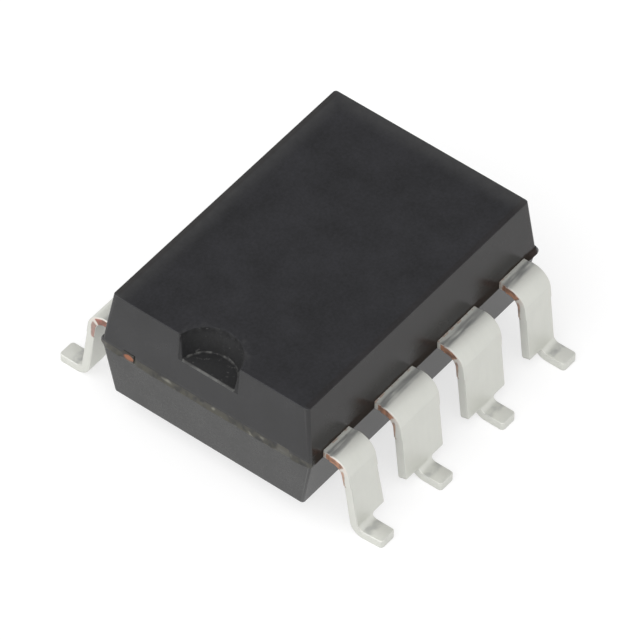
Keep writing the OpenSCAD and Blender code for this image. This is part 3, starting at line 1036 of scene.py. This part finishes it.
class OPTOCOUPLER_OT_bond_wires(Operator):
    """Finishes the gold bond wires"""

    bl_idname = "optocoupler.bond_wires"
    bl_label = "Bond wires"

    def execute(self, context):
        tones = context.scene.optocoupler_finishes
        gold = plain_material("gold_wire", tones.gold, Roughness=0.22, Metallic=1.0)
        kinds = ("led_wire", "cell_inner_wire", "cell_outer_wire")
        dress([f"{kind}_{channel}" for kind in kinds for channel in "ab"], gold)
        return {"FINISHED"}


def floor_material(studio):
    """A pale floor that the camera and reflections see as white, and that keeps the shadow."""
    material = bpy.data.materials.new("floor")
    graph = Graph(material)
    path = graph.node("LightPath", {}, "Is Camera Ray")
    seen = path
    for ray in ("Is Glossy Ray", "Is Transmission Ray"):
        seen = seen.math("MAXIMUM", Value(graph, path.socket.node.outputs[ray]))
    matte = graph.node("BsdfDiffuse", {"Color": rgba(studio.floor_colour)})
    glow = graph.node("Emission", {"Color": WHITE, "Strength": seen * studio.floor_glow})
    graph.surface(graph.node("AddShader", {0: matte, 1: glow}))
    return material


def studio_world(studio, away):
    """White walls all round, dimmer behind the part, as a light tent with an open back."""
    world = bpy.data.worlds.new("studio")
    graph = Graph(world)
    direction = graph.node("TexCoord", {}, "Generated")
    towards = graph.node("VectorMath", {0: direction, 1: away}, "Value", operation="DOT_PRODUCT")
    path = graph.node("LightPath", {}, "Is Camera Ray")
    dim = towards.over(0.5, 0.95) * (1 - path)
    strength = studio.sky - dim * (studio.sky - studio.back_sky)
    backdrop = graph.node("Background", {"Color": WHITE, "Strength": strength})
    graph.node("OutputWorld", {"Surface": backdrop})
    return world


def view_axes(studio):
    """The camera's directions to the right, up, and back from the part."""
    turn, rise = studio.azimuth, studio.elevation
    back = Vector((sin(turn) * cos(rise), -cos(turn) * cos(rise), sin(rise)))
    level = Vector((cos(turn), sin(turn), 0))
    rotation = Matrix.Rotation(studio.roll, 3, back)
    return rotation @ level, rotation @ back.cross(level), back


def add_camera(scene, studio, right, up, back):
    """A camera with a long lens, aimed at the part."""
    data = bpy.data.cameras.new("camera")
    data.lens = data.sensor_width * studio.distance / studio.view_width
    camera = add_object("camera", data)
    aim = Vector((0, 0, studio.aim_height))
    place = aim + back * studio.distance - up * studio.aim_up
    camera.matrix_world = Matrix.Translation(place) @ Matrix((right, up, back)).transposed().to_4x4()
    scene.camera = camera


def add_floor(studio):
    """The floor that the part stands on."""
    bm = bmesh.new()
    bmesh.ops.create_grid(bm, x_segments=1, y_segments=1, size=studio.floor_reach)
    mesh = mesh_from("floor", bm)
    mesh.materials.append(floor_material(studio))
    floor = add_object("floor", mesh)


def add_softbox(studio):
    """A large lamp on the left that faces the part."""
    data = bpy.data.lights.new("softbox", "AREA")
    data.energy = studio.lamp_power
    data.size = studio.lamp_size
    place = Vector(studio.lamp_place)
    turned = place.to_track_quat("Z", "Y").to_matrix().to_4x4()
    lamp = add_object("softbox", data)
    lamp.matrix_world = Matrix.Translation(place) @ turned


class OPTOCOUPLER_OT_stage(Operator):
    """Sets the floor, the light and the camera"""

    bl_idname = "optocoupler.stage"
    bl_label = "Stage"

    def execute(self, context):
        scene = context.scene
        studio = scene.optocoupler_studio
        scene.view_settings.view_transform = "Standard"
        right, up, back = view_axes(studio)
        add_camera(scene, studio, right, up, back)
        add_floor(studio)
        scene.world = studio_world(studio, Vector((-back.x, -back.y, back.z)))
        add_softbox(studio)
        return {"FINISHED"}


GROUPS = {
    "optocoupler_moulding": MouldingSizes,
    "optocoupler_leads": LeadSizes,
    "optocoupler_finishes": Finishes,
    "optocoupler_studio": StudioSettings,
}
OPERATORS = (
    OPTOCOUPLER_OT_stage,
    OPTOCOUPLER_OT_moulding,
    OPTOCOUPLER_OT_leads,
    OPTOCOUPLER_OT_chips,
    OPTOCOUPLER_OT_bond_wires,
)


class OPTOCOUPLER_PT_sidebar(Panel):
    """Lists the pieces of the optocoupler"""

    bl_idname = "OPTOCOUPLER_PT_sidebar"
    bl_label = "Optocoupler"
    bl_space_type = "VIEW_3D"
    bl_region_type = "UI"
    bl_category = "Optocoupler"

    def draw(self, context):
        for operator in OPERATORS:
            self.layout.operator(operator.bl_idname)
        for group in GROUPS:
            settings = getattr(context.scene, group)
            box = self.layout.box()
            for name in settings.__annotations__:
                box.prop(settings, name)


def register():
    for group, settings in GROUPS.items():
        bpy.utils.register_class(settings)
        setattr(Scene, group, PointerProperty(type=settings))
    for cls in (*OPERATORS, OPTOCOUPLER_PT_sidebar):
        bpy.utils.register_class(cls)


def unregister():
    for cls in (OPTOCOUPLER_PT_sidebar, *reversed(OPERATORS)):
        bpy.utils.unregister_class(cls)
    for group, settings in reversed(GROUPS.items()):
        delattr(Scene, group)
        bpy.utils.unregister_class(settings)


def main():
    """Makes the whole scene."""
    register()
    bpy.ops.optocoupler.stage()
    bpy.ops.optocoupler.moulding()
    bpy.ops.optocoupler.leads()
    bpy.ops.optocoupler.chips()
    bpy.ops.optocoupler.bond_wires()


if __name__ == "__main__":
    main()
